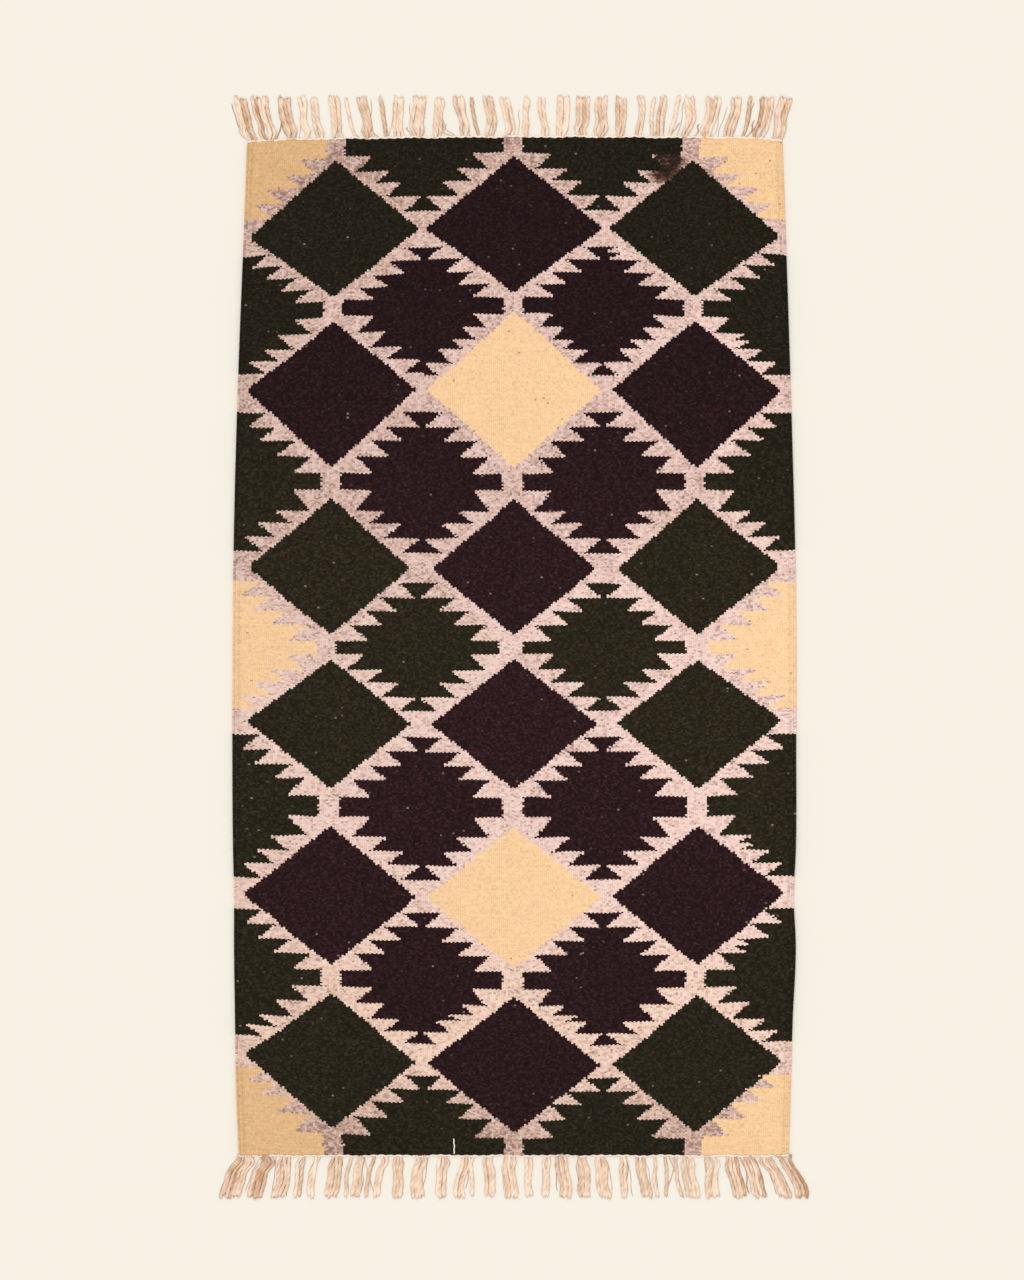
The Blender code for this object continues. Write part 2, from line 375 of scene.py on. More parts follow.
ENDS = table(
    "End", "name line outwards locks strays seed",
    ("far", far_line, 1.0, FAR_LOCKS, FAR_STRAYS, 11),
    ("near", near_line, -1.0, NEAR_LOCKS, NEAR_STRAYS, 12),
)


def along_of_row(row, across):
    """Gives the place along Y of a row of the chart, at a distance across the rug."""
    rows, *measures = zip(*CHART_LINES)
    inside = np.clip(row, rows[0], rows[-1])
    middle, bow, slant = [smooth_through(rows, measure, inside) for measure in measures]
    share = across / END_HALF_WIDTH
    return middle - bow * share**2 + slant * share + (inside - row) * ROW_HIGH


def across_of_column(column, along):
    """Gives the place along X of a column of the chart, at a distance along the rug."""
    share = column / EDGE_COLUMN
    give = half_width(along, column) / WARP_WIDTH - 1.0
    return share * WARP_WIDTH * (1.0 + give * between(MIDDLE_GIVE, 1.0, share**2))


def row_at(across, along):
    """Gives the chart's row at points of the rug, read back from the places of the rows."""
    guess = (CHART_LINES[0].along - along) / ROW_HIGH
    for _ in range(12):
        guess = guess + (along_of_row(guess, across) - along) / ROW_HIGH
    return guess


def lift_at(across, along):
    """Gives how far the laid cloth stands off the floor."""
    long_wave = np.sin(5.1 * along + 1.7 * across + 0.6)
    short_wave = np.sin(9.7 * across - 6.3 * along + 2.0)
    return WAVE * (2.0 + long_wave + short_wave)


# ------------------------------------------------------------------ meshes

# The free margins on a piece's map, as shares of the map, and of one of its rows
MAP_MARGIN = 0.02
ROW_MARGIN = 0.04
RIM_MARGIN = 0.012


def select(*pieces):
    """Selects these pieces alone, with the first of them active. Given none, it lets go of all."""
    bpy.ops.object.select_all(action="DESELECT")
    for piece in pieces:
        piece.select_set(True)
        bpy.context.view_layer.objects.active = pieces[0]


def apply_modifiers(piece):
    """Applies every modifier of a piece, in order."""
    select(piece)
    for name in [modifier.name for modifier in piece.modifiers]:
        bpy.ops.object.modifier_apply(modifier=name)


def outward_faces(piece):
    """Points every face of a closed piece outwards."""
    select(piece)
    bpy.ops.object.mode_set(mode="EDIT")
    bpy.ops.mesh.select_all(action="SELECT")
    bpy.ops.mesh.normals_make_consistent(inside=False)
    bpy.ops.object.mode_set(mode="OBJECT")


def points_of(mesh):
    """Reads the places of a mesh's corners as an array."""
    points = np.empty(len(mesh.vertices) * 3)
    mesh.vertices.foreach_get("co", points)
    return points.reshape(-1, 3)


def faces_of(mesh):
    """Lists a mesh's faces by their corners."""
    return [tuple(face.vertices) for face in mesh.polygons]


def in_rows(*columns):
    """Puts columns of numbers side by side, with a row for each corner."""
    return np.stack(np.broadcast_arrays(*columns), axis=1)


def write_vector(mesh, name, columns):
    """Keeps three numbers at every corner of a mesh."""
    values = in_rows(*columns)
    layer = mesh.attributes.get(name) or mesh.attributes.new(name, "FLOAT_VECTOR", "POINT")
    layer.data.foreach_set("vector", values.astype(np.float32).ravel())


def smooth_all(mesh):
    """Shades every face of a mesh smoothly."""
    mesh.polygons.foreach_set("use_smooth", [True] * len(mesh.polygons))


def piece_of(name, points, faces, edges=()):
    """Makes a smooth piece of points and faces, standing at the origin."""
    mesh = bpy.data.meshes.new(name)
    mesh.from_pydata(np.asarray(points, float).tolist(), edges, faces)
    smooth_all(mesh)
    piece = bpy.data.objects.new(name, mesh)
    bpy.context.scene.collection.objects.link(piece)
    return piece


def joined_copies(name, shapes, faces, numbers):
    """Makes one piece of many copies of the same faces, each with its own points and numbers."""
    count = len(shapes[0])
    every_face = [
        tuple(corner + number * count for corner in face)
        for number in range(len(shapes))
        for face in faces
    ]
    piece = piece_of(name, np.concatenate(shapes), every_face)
    write_vector(piece.data, "yarn", np.concatenate(numbers).T)
    return piece


def lay_flat_map(mesh, along, across, rows):
    """Unrolls a long piece onto its map in rows, from shares along it and across it."""
    if "OFBake" in mesh.uv_layers:
        mesh.uv_layers.remove(mesh.uv_layers["OFBake"])
    layer = mesh.uv_layers.new(name="OFBake")
    corner = np.empty(len(mesh.loops), int)
    mesh.loops.foreach_get("vertex_index", corner)
    sizes = np.empty(len(mesh.polygons), int)
    mesh.polygons.foreach_get("loop_total", sizes)
    face_number = np.repeat(np.arange(len(sizes)), sizes)
    middle = np.bincount(face_number, weights=along[corner]) / sizes
    row = np.clip(np.floor(middle * rows), 0, rows - 1)[face_number]
    places = np.empty((len(corner), 2))
    places[:, 0] = inset(along[corner] * rows - row, MAP_MARGIN)
    places[:, 1] = (row + inset(across[corner], ROW_MARGIN)) / rows
    layer.data.foreach_set("uv", places.astype(np.float32).ravel())
    mesh.uv_layers.active = layer


def inset(share, margin):
    """Keeps a share away from both edges of the map by a margin."""
    return between(margin, 1.0 - margin, share)


def share_of(values):
    """Turns values into shares of the way from the lowest to the highest."""
    low, high = values.min(), values.max()
    return (values - low) / (high - low)


# ------------------------------------------------------------------ materials

def sum_method(operation, turned=False):
    """Makes a method that adds one kind of sum to a reading's recipe."""

    def add_sum(self, *others):
        values = (*others, self) if turned else (self, *others)
        return self.recipe.maths(operation, *values)

    return add_sum


class Reading:
    """A number that changes over a surface. Sums with it add Math nodes to its recipe."""

    __add__ = __radd__ = sum_method("ADD")
    __sub__ = sum_method("SUBTRACT")
    __rsub__ = sum_method("SUBTRACT", turned=True)
    __mul__ = __rmul__ = sum_method("MULTIPLY")
    __truediv__ = sum_method("DIVIDE")
    __mod__ = sum_method("FLOORED_MODULO")
    __lt__ = sum_method("LESS_THAN")
    __gt__ = sum_method("GREATER_THAN")
    __abs__ = sum_method("ABSOLUTE")
    floor = sum_method("FLOOR")
    at_most = sum_method("MINIMUM")
    at_least = sum_method("MAXIMUM")

    def __init__(self, recipe, socket):
        self.recipe = recipe
        self.socket = socket

    def as_share(self):
        """Keeps a reading between 0 and 1."""
        return self.at_least(0.0).at_most(1.0)


class Recipe:
    """A material and the nodes that are put in it."""

    MIX_FACTOR = 0
    MIX_FIRST = 6
    MIX_SECOND = 7
    MIX_RESULT = 2

    def __init__(self, name, constants):
        self.material = bpy.data.materials.new(name)
        self.material.use_nodes = True
        self.tree = self.material.node_tree
        self.shader = self.tree.nodes["Principled BSDF"]
        for socket, value in constants.items():
            self.shader.inputs[socket].default_value = value

    def feed(self, socket, value):
        """Puts a value in a socket, or links a reading to it."""
        if isinstance(value, Reading):
            self.tree.links.new(value.socket, socket)
        else:
            socket.default_value = value

    def node(self, kind, settings=None, sockets=None, output=0):
        """Adds a node with its settings and what its sockets take, and reads one of its outputs."""
        made = self.tree.nodes.new(kind)
        for name, value in (settings or {}).items():
            if name == "stops":
                self.set_stops(made.color_ramp, value)
            else:
                setattr(made, name, value)
        for name, value in (sockets or {}).items():
            self.feed(made.inputs[name], value)
        return Reading(self, made.outputs[output])

    def set_stops(self, ramp, stops):
        """Gives a colour ramp its stops, as places and colours."""
        while len(ramp.elements) < len(stops):
            ramp.elements.new(1.0)
        for element, (place, color) in zip(ramp.elements, stops):
            element.position = place
            element.color = color

    def maths(self, operation, *values):
        """Adds one sum."""
        return self.node("ShaderNodeMath", {"operation": operation}, dict(enumerate(values)))

    def mix(self, factor, first, second):
        """Goes from the first colour to the second by a factor."""
        sockets = {self.MIX_FACTOR: factor, self.MIX_FIRST: first, self.MIX_SECOND: second}
        return self.node("ShaderNodeMix", {"data_type": "RGBA"}, sockets, self.MIX_RESULT)

    def scaled(self, color, amount):
        """Makes a colour lighter or darker."""
        settings = {"operation": "SCALE"}
        return self.node("ShaderNodeVectorMath", settings, {"Vector": color, "Scale": amount})

    def parts(self, vector):
        """Reads the three numbers of a vector."""
        split = self.node("ShaderNodeSeparateXYZ", None, {"Vector": vector})
        return [Reading(self, socket) for socket in split.socket.node.outputs]

    def vector(self, x, y, z):
        """Makes a vector of three numbers."""
        return self.node("ShaderNodeCombineXYZ", None, {"X": x, "Y": y, "Z": z})

    def kept(self, name):
        """Reads the three numbers that the mesh keeps under a name."""
        settings = {"attribute_type": "GEOMETRY", "attribute_name": name}
        return self.parts(self.node("ShaderNodeAttribute", settings, None, "Vector"))

    def place(self):
        """Reads the place on the object."""
        return self.node("ShaderNodeTexCoord", None, None, "Object")

    def cloud(self, place, scale, detail=2.0):
        """Reads a soft random pattern, from 0 to 1."""
        sockets = {"Vector": place, "Scale": scale, "Detail": detail}
        return self.node("ShaderNodeTexNoise", {"noise_dimensions": "3D"}, sockets, 0)

    def drift(self, place, scale, detail=2.0):
        """Reads a soft random pattern, from -0.5 to 0.5."""
        return self.cloud(place, scale, detail) - 0.5

    def laid_over(self, color, *layers):
        """Lays colours over a colour one after another, each by its own share."""
        for share, upper in layers:
            color = self.mix(share, color, upper)
        return color

    def ramp(self, share, places):
        """Reads a number that changes along the stops of a table of places and values."""
        stops = [(place, (value, value, value, 1.0)) for place, value in places]
        return self.node("ShaderNodeValToRGB", {"stops": stops}, {"Fac": share}) * 1.0

    def chance(self, x, y, z):
        """Draws four random numbers that stay the same wherever x, y and z do."""
        sockets = {"Vector": self.vector(x, y, z)}
        first = self.node("ShaderNodeTexWhiteNoise", {"noise_dimensions": "3D"}, sockets, "Value")
        color = Reading(self, first.socket.node.outputs["Color"])
        return [first] + self.parts(color)

    def raise_surface(self, height, distance, strength=1.0):
        """Turns a height from 0 to 1 into relief of that depth."""
        sockets = {"Height": height, "Distance": distance, "Strength": strength}
        normal = self.node("ShaderNodeBump", None, sockets, "Normal")
        self.feed(self.shader.inputs["Normal"], normal)

    def paint(self, color):
        """Gives the shader its colour."""
        self.feed(self.shader.inputs["Base Color"], color)


def off_middle(value, repeat):
    """Finds how far a reading is from the middle of its repeat."""
    return abs((value % repeat) - 0.5 * repeat)


def diamond_mask(recipe, column, row):
    """Finds where the chart has a diamond, with stepped sides."""
    far_reach, half, near_reach = recipe.kept("diamond")
    middle = abs(column) < HALF_MOTIF
    outer = abs(column) > MOTIF
    tall_from, tall_to = TALL_TIP_ROWS
    far_reach = far_reach + middle * (row > tall_from) * (row < tall_to) * TALL_TIP
    reach = between(far_reach, near_reach, (row % REPEAT) > HALF_REPEAT)
    from_row = off_middle(row, REPEAT)
    from_column = off_middle(column + HALF_MOTIF, MOTIF)
    half = half - MIDDLE_WIDER + middle * (2.0 * MIDDLE_WIDER)
    stair = ((from_row / STAIR).floor() + 0.5) * STAIR
    blunt = BLUNT + middle * (BLUNT_MIDDLE - BLUNT) + outer * (BLUNT_OUTER - BLUNT)
    side = between(TIP_HALF, half, 1.0 - stair / reach).at_most(half - blunt)
    return (from_column < side) * (from_row < reach)


def split_mask(column, row, near_half, step):
    """Finds the layers of teeth that are woven as two layers of small ones."""
    mask = 0.0
    for split in SPLIT_TEETH:
        in_motif = abs(row - split.row) < HALF_REPEAT
        in_motif = in_motif * (column > split.low) * (column < split.high)
        in_layer = (abs(near_half - split.near) < 0.5) * (abs(step - split.layer) < 0.5)
        mask = mask + in_motif * in_layer
    return mask


def layer_at(beyond, layers, steps):
    """Finds the layer of teeth at rows beyond the bar: its start, steps out and rows, and if last.

    Layers lists the rows of each, from the bar out, and steps how much narrower the next one is.
    """
    end, start, step, layer = 0.0, 0.0, 0.0, layers[0]
    for inner, next_out, narrower in zip(layers, layers[1:], steps):
        end = end + inner
        reached = beyond > end
        start = start + reached * inner
        step = step + reached * narrower
        layer = layer + reached * (next_out - inner)
    return start, step, layer, reached


def lozenge_mask(recipe, column, row):
    """Finds where the chart has a lozenge: a bar, with layers of teeth on both sides of it."""
    bar, edge_wider, left_shift = recipe.kept("lozenge")
    edge = abs(column) > MOTIF
    near_half = ((row + HALF_REPEAT) % REPEAT) > HALF_REPEAT
    halves = zip(recipe.kept("far_layers"), recipe.kept("near_layers"))
    first, second, outer = [between(far, near, near_half) for far, near in halves]
    crowded_first, crowded_second, third = recipe.kept("crowded")
    right_side = HALF_MOTIF + HALF_MOTIF * (row < WIDE_CROWD_ROW)
    crowded = near_half * (column > -HALF_MOTIF) * (column < right_side) * (third > THIN_LAYER)
    first = between(first, crowded_first, crowded)
    second = between(second, crowded_second, crowded)
    third = third * crowded

    lozenge_row = off_middle(row + HALF_REPEAT, REPEAT)
    shifted = column + LOZENGE_SHIFT - left_shift * (column < 0.0) * (1.0 - edge)
    lozenge_column = off_middle(shifted, MOTIF)
    beyond = lozenge_row - bar
    layers = (first, second, third, outer, outer)
    start, step, layer, last = layer_at(beyond, layers, (1.0, crowded, 1.0, 1.0))
    stair = ((beyond - start) / STAIR).floor() * STAIR / layer

    # Two numbers that tell one motif's sides from another's, for the dice
    side = near_half * 5.0 + ((column % MOTIF) > HALF_MOTIF) * 11.0
    motif = (column / MOTIF).floor() * 3.0 + ((row + HALF_REPEAT) / REPEAT).floor() * 7.0
    ragged = (recipe.chance((row * 2.0).floor(), side, motif)[1] - 0.5) * RAGGED
    uneven = (recipe.chance(step, side, motif)[0] - 0.5) * UNEVEN_TEETH * (1.0 - last)
    tooth_step = between(TOOTH_STEP, CROWDED_STEP, crowded)
    tooth_length = between(TOOTH_LENGTH, CROWDED_LENGTH, crowded)
    split = split_mask(column, row, near_half, step)
    second_small = split * (stair > SMALL_TOOTH_START)
    tooth = TOOTH_ROOT - tooth_step * step + uneven + RAGGED_TEETH * ragged
    tooth = tooth + (tooth_length + split * SMALL_TOOTH_SLOPE) * (stair - 0.5 * second_small)
    tooth = tooth + split * SMALL_TOOTH_SHORTER - second_small * SMALL_TOOTH_STEP
    tooth = tooth + edge * (EDGE_TEETH_WIDER + edge_wider)
    tooth = tooth + last * (edge * EDGE_LAST_WIDER - LAST_LAYER_NARROWER)
    in_teeth = (beyond > -TEETH_UNDER_BAR) * (beyond < first + second + third + 2.0 * outer)
    bar_column = lozenge_column + ragged - edge * (EDGE_BAR_WIDER + edge_wider)
    middle_bar = (lozenge_row < bar) * (bar_column < BAR_HALF)
    return ((lozenge_column < tooth) * in_teeth).at_least(middle_bar)


def dye_masks(diamond, lozenge, column, row):
    """Finds which motif is yellow and which green. The rest are aubergine.

    In every third band of lozenges, and of diamonds, the dyes change places.
    """
    special_band = (((row + HALF_REPEAT) / REPEAT).floor() % 3.0) < 0.5
    bright_band = abs(((row / REPEAT).floor() % 3.0) - 1.0) < 0.5
    edge = abs(column) > MOTIF
    middle = abs(column) < HALF_MOTIF
    yellow = lozenge * edge * special_band + diamond * middle * bright_band
    green = lozenge * abs(edge - special_band) + diamond * (1.0 - middle) * (1.0 - bright_band)
    return yellow, green


# Tables of shares along the chart's length: how far the ground yarn has gone to mauve or to cream,
# and how light the dark wools have worn
MAUVE_SHARES = (
    (0.00, 0.75), (0.05, 0.46), (0.11, 0.36), (0.20, 0.30), (0.28, 0.38), (0.36, 0.34),
    (0.43, 0.22), (0.50, 0.06), (0.60, 0.01), (0.86, 0.02), (0.92, 0.17), (0.99, 0.80),
)
CREAM_SHARES = ((0.00, 0.35), (0.20, 0.00), (0.68, 0.00), (0.78, 0.35), (0.86, 1.00), (0.95, 0.70))
WEAR_SHARES = (
    (0.00, 0.68), (0.16, 0.74), (0.30, 0.86), (0.40, 1.04), (0.50, 1.06), (0.62, 1.04),
    (0.78, 0.96), (1.00, 0.90),
)


def spill_mask(across, along, unevenness):
    """Finds how dark each spill has left the ground, with soft uneven edges."""
    mask = None
    for spill in SPILLS:
        wide = (across - spill.across) / spill.wide
        long = (along - spill.along) / spill.long
        depth = (1.0 - wide * wide - long * long + unevenness) * spill.strength
        mask = depth if mask is None else mask.at_least(depth)
    return mask.as_share()


# How rare the odd beads are: they are those whose random number is past this, or below it
SPECKED_PAST = 0.955
WORN_PAST = 0.93
FIBRES_PAST = 0.92
DUST_PAST = 0.993
LINT_PAST = 0.9984
KNOT_PAST = 0.9985
YELLOW_SPECKED_BELOW = 0.08

# What the dyes read of the woven wool: its place, its beads' random numbers and its soft random
# patterns. Dusk and dawn are how much darker, or paler, than the others a bead is
Wool = namedtuple("Wool", "across along share fleck tint fade yarn patch lot dusk dawn")


def ground_color(recipe, wool):
    """Dyes the ground: pink that goes to mauve and to cream along the rug, specked and spilt on."""
    patch, lot, yarn = wool.patch, wool.lot, wool.yarn
    mauve = recipe.ramp(wool.share, MAUVE_SHARES) - wool.across * 0.24
    mauve = (mauve + lot * 0.8 + patch * 0.9).as_share()
    cream = (recipe.ramp(wool.share, CREAM_SHARES) - wool.across * 0.6 + patch).as_share()
    dusty = (lot * 5.0 + patch * 2.0).as_share()
    specked = wool.fleck > SPECKED_PAST - 0.10 * mauve - 0.05 * dusty
    spilt = spill_mask(wool.across, wool.along, patch * 0.9 + yarn * 0.9)
    soaked = spilt * 2.0 - 0.90 + yarn * 1.7 * spilt
    return recipe.laid_over(
        recipe.mix(mauve, recipe.mix(cream, GROUND, CREAM), MAUVE),
        (wool.dusk * (0.36 + 0.22 * mauve + 0.20 * dusty), DARK_SPECK),
        (specked * (0.28 + 0.40 * wool.fade), DARK_SPECK),
        (wool.dawn * 0.44, PALE_SPECK),
        ((spilt * 1.5).as_share(), STAINED),
        (soaked.as_share(), SPILT),
    )


def yellow_color(recipe, wool, column, row):
    """Dyes the yellow, which is of a deeper lot in the half lozenges near the corners."""
    deep_lot = (abs(column) > MOTIF) * (abs(row - MIDDLE_ROW) > DEEP_LOT_ROW)
    deep_lot = deep_lot * (0.3 + 0.7 * (column < 0.0))
    far_lot = deep_lot * (row < MIDDLE_ROW)
    specks = wool.dusk * (0.20 + 0.24 * deep_lot)
    specks = specks + (wool.fleck < YELLOW_SPECKED_BELOW) * (0.10 + 0.12 * deep_lot)
    mottling = far_lot * (wool.patch * 2.0 + wool.yarn).as_share() * 0.5
    return recipe.laid_over(
        recipe.mix(deep_lot * 0.76 + far_lot * 0.14, YELLOW, DEEP_YELLOW),
        (specks + mottling, YELLOW_SPECK),
        ((wool.fleck > KNOT_PAST) * 0.6, YELLOW_KNOT),
    )


def dark_color(recipe, wool, green):
    """Dyes the aubergine and the green, with wear along the rug and stray fibres, dust and lint."""
    dark = recipe.laid_over(
        recipe.mix(green, AUBERGINE, GREEN),
        (wool.dusk * 0.05 + (wool.tint > WORN_PAST) * 0.13, WORN_DARK),
        ((wool.fade > FIBRES_PAST) * 0.5, recipe.mix(green, AUBERGINE_FIBRE, GREEN_FIBRE)),
    )
    dark = recipe.scaled(dark, 1.03 + 0.58 * wool.dusk - 0.32 * wool.dawn)
    wear = recipe.ramp(wool.share, WEAR_SHARES) + wool.lot * 0.3
    return recipe.laid_over(
        recipe.scaled(dark, wear),
        ((wool.fleck > DUST_PAST) * wool.fade * 0.25, DUST),
        ((wool.fleck > LINT_PAST) * (0.08 + 0.5 * wool.fade), LINT),
    )


def wool_recipe():
    """Dyes the weft-faced wool by the weaver's chart, bead by bead, and paints shade between the
    beads and along the selvedges.
    """
    recipe = Recipe("flat_woven_wool", {"Roughness": 0.93, "Specular IOR Level": 0.12})
    column_place, row_place, painted_shading = recipe.kept("chart")
    place = recipe.place()
    across, along, _ = recipe.parts(place)

    row_place = row_place + recipe.drift(place, HAND_SCALE, 1.0) * HAND_ROWS
    warp_place = column_place * 2.0
    warp = warp_place.floor()
    odd = warp % 2.0
    bead_place = row_place * BEADS_PER_ROW + odd * 0.5
    bead = bead_place.floor()
    row = ((bead + 0.5 - odd * 0.5) / BEADS_PER_ROW).at_least(FIRST_ROW).at_most(LAST_ROW)
    column = (warp + 0.5) / 2.0
    diamond = diamond_mask(recipe, column, row)
    lozenge = lozenge_mask(recipe, column, row)
    yellow, green = dye_masks(diamond, lozenge, column, row)

    luck, fleck, tint, fade = recipe.chance(warp, bead, 1.0)
    yarn = recipe.drift(recipe.vector(warp * 0.42, bead * 0.72, 3.0), 1.0, 1.0)
    streak = recipe.drift(recipe.vector(column_place * 0.13, row_place * 1.7, 0.0), 1.0, 1.0)
    uneven = yarn * 5.4 + (luck - 0.5) * 1.7
    wool = Wool(
        across=across, along=along, share=row_place / LAST_ROW,
        fleck=fleck, tint=tint, fade=fade, yarn=yarn,
        patch=recipe.drift(place, PATCH_SCALE), lot=recipe.drift(place, LOT_SCALE),
        dusk=uneven.as_share(), dawn=(0.0 - uneven).as_share(),
    )
    # The ground and the yellow are made lighter towards the right
    brighter_rightwards = 1.0 + across * 0.14
    ground = recipe.scaled(ground_color(recipe, wool), brighter_rightwards)
    bright = recipe.scaled(yellow_color(recipe, wool, column, row), brighter_rightwards)
    color = recipe.mix(diamond.at_least(lozenge), ground, dark_color(recipe, wool, green))
    color = recipe.mix(yellow, color, bright)

    across_bead = (warp_place - warp - 0.5) * 2.0
    along_bead = (bead_place - bead - 0.5) * 2.0
    rib = 1.0 - across_bead * across_bead
    swell = 1.0 - along_bead * along_bead
    bead_height = rib * (0.55 + 0.45 * swell)
    fibre = recipe.cloud(place, WOOL_FIBRE_SCALE)
    # Painted shade: darker between the beads and where the painted shading is set, besides the
    # beads' random tone
    shade = 1.0 + (luck - 0.5) * 0.20 + streak * 0.20 - (1.0 - bead_height) * 0.07
    shade = shade + (fibre - 0.5) * 0.14 - painted_shading * 0.30
    recipe.paint(recipe.scaled(color, shade))
    recipe.raise_surface(bead_height * 0.8 + fibre * 0.35, BEAD_DEEP, 0.8)
    return recipe.material


def cotton_recipe():
    """Finishes the undyed cotton of the headings and the fringes, with painted shade in the grooves
    between plies and where the yarns lie low.
    """
    recipe = Recipe("cotton_warp_yarn", {"Roughness": 0.88, "Specular IOR Level": 0.15})
    groove, depth, luck = recipe.kept("yarn")
    place = recipe.place()
    blotch = recipe.drift(place, BLOTCH_SCALE)
    fibre = recipe.cloud(place, COTTON_FIBRE_SCALE, 3.0)
    # Painted shade from the grooves and the yarns' depth, besides blotchy and random tone
    shade = groove * 0.22 + depth * 0.78 + blotch * 0.9 + (luck - 0.5) * 0.42
    color = recipe.laid_over(
        COTTON, (shade.as_share(), COTTON_SHADE), ((0.0 - shade).as_share(), PALE_COTTON)
    )
    recipe.paint(recipe.scaled(color, 1.0 + (fibre - 0.5) * 0.22))
    recipe.raise_surface(fibre, COTTON_DEEP, 0.7)
    return recipe.material


def floor_recipe():
    """Finishes the plain pale floor."""
    constants = {"Base Color": FLOOR, "Roughness": 0.95, "Specular IOR Level": 0.0}
    return Recipe("pale_floor", constants).material


# ------------------------------------------------------------------ the cloth

# The corners of one rib's section, from valley to valley, and how thick the cloth is there
RIB = table("Corner", "phase weight", (0.0, 0.88), (0.27, 1.0), (0.73, 1.0))
LAST_RIB = 65
RIM = table("Rim", "column weight", (CLOTH_COLUMN, 0.55), (65.25, 0.80))


def cloth_columns():
    """Lists the chart columns where the cloth's faces part, with how thick it is there."""
    columns = [(-rim.column, rim.weight) for rim in RIM]
    for warp in range(-2 * LAST_RIB, 2 * LAST_RIB):
        columns += [((warp + corner.phase) / 2.0, corner.weight) for corner in RIB]
    columns.append((LAST_RIB, RIB[0].weight))
    return columns + [(rim.column, rim.weight) for rim in reversed(RIM)]


# Where the cloth's faces part near its ends, and how thick it is there
HEM = table("Hem", "inset weight", (0.0, 0.40), (0.0008, 0.85), (0.0024, 1.0))


def cloth_rows():
    """Lists the chart rows inside the cloth where its faces part, from far to near."""
    rows = []
    for line in CHART_LINES[:-1]:
        steps = (FREE_ROWS, 0.5 * HALF_REPEAT, HALF_REPEAT - FREE_ROWS)
        rows += [line.row + step for step in steps]
    return rows


def weave_cloth(material):
    """Makes the cloth: ribbed on both faces, with thin edges that lie inside its selvedges."""
    columns = cloth_columns()
    rows = cloth_rows()
    ends = [0.0] * len(HEM)
    row_count = len(rows) + 2 * len(HEM)
    select()
    bpy.ops.mesh.primitive_grid_add(
        x_subdivisions=len(columns) - 1, y_subdivisions=row_count - 1, size=2.0
    )
    piece = bpy.context.object
    piece.name = "woven_rug"
    mesh = piece.data
    grid = points_of(mesh)
    column_number = np.rint((grid[:, 0] + 1.0) / 2.0 * (len(columns) - 1)).astype(int)
    row_number = np.rint((1.0 - grid[:, 1]) / 2.0 * (row_count - 1)).astype(int)
    column, weight = np.array(columns)[column_number].T
    across, along = place_of_chart(column, np.array(ends + rows + ends)[row_number])
    for number, hem in enumerate(HEM):
        for end, hem_row in zip(ENDS, (number, row_count - 1 - number)):
            is_hem = row_number == hem_row
            across[is_hem] = across_of_column(column[is_hem], end.line(0.0))
            along[is_hem] = end.line(across[is_hem]) - end.outwards * hem.inset
            weight[is_hem] = np.minimum(weight[is_hem], hem.weight)
    height = 0.5 * CLOTH_THICK + lift_at(across, along)
    mesh.vertices.foreach_set("co", in_rows(across, along, height).ravel())
    mesh.update()
    # Painted shade: the cloth's colour is darkened in a narrow band along the selvedges
    valley_shade = EDGE_VALLEY_SHADE * np.exp(-(((np.abs(column) - EDGE_VALLEY) / EDGE_VALLEY_WIDE) ** 2))
    keep_chart(mesh, column, row_at(across, along), valley_shade)

    thickness = piece.vertex_groups.new(name="thickness")
    for value in np.unique(weight):
        thickness.add([int(number) for number in np.flatnonzero(weight == value)], value, "REPLACE")
    shell = piece.modifiers.new("both_faces", "SOLIDIFY")
    shell.thickness = CLOTH_THICK
    shell.offset = 0.0
    shell.vertex_group = thickness.name
    apply_modifiers(piece)
    smooth_all(mesh)
    mesh.materials.clear()
    mesh.materials.append(material)
    map_cloth(mesh)
    return piece


def place_of_chart(column, row):
    """Gives the place of a point of the chart on the rug, across it and along it."""
    along = along_of_row(row, 0.0)
    for _ in range(3):
        across = across_of_column(column, along)
        along = along_of_row(row, across)
    return across, along


def band_value(values, row, first_line):
    """Reads a table with one value per band of motifs, eased over the free rows between them."""
    band = (row - first_line) / REPEAT
    number = np.floor(band + 0.5)
    ease = FREE_ROWS / REPEAT
    share = np.clip((band - number + ease) / (2.0 * ease), 0.0, 1.0)
    numbers = [np.clip(number.astype(int) - back, 0, len(values) - 1) for back in (1, 0)]
    before, after = [np.asarray(values, float)[chosen] for chosen in numbers]
    return between(before, after, share)


def keep_chart(mesh, column, row, painted_shading):
    """Keeps on every corner its place in the chart, how much painted shading it has, and the
    measures of the motifs around it.
    """
    write_vector(mesh, "chart", (column, row, painted_shading))
    measures = {
        "diamond": DIAMONDS,
        "lozenge": [(motif.bar, motif.edge, motif.left) for motif in LOZENGES],
        "far_layers": [motif.far_layers for motif in LOZENGES],
        "near_layers": [motif.near_layers for motif in LOZENGES],
        "crowded": CROWDED,
    }
    for name, bands in measures.items():
        first_line = 0.0 if name == "diamond" else -HALF_REPEAT
        write_vector(mesh, name, [band_value(values, row, first_line) for values in zip(*bands)])


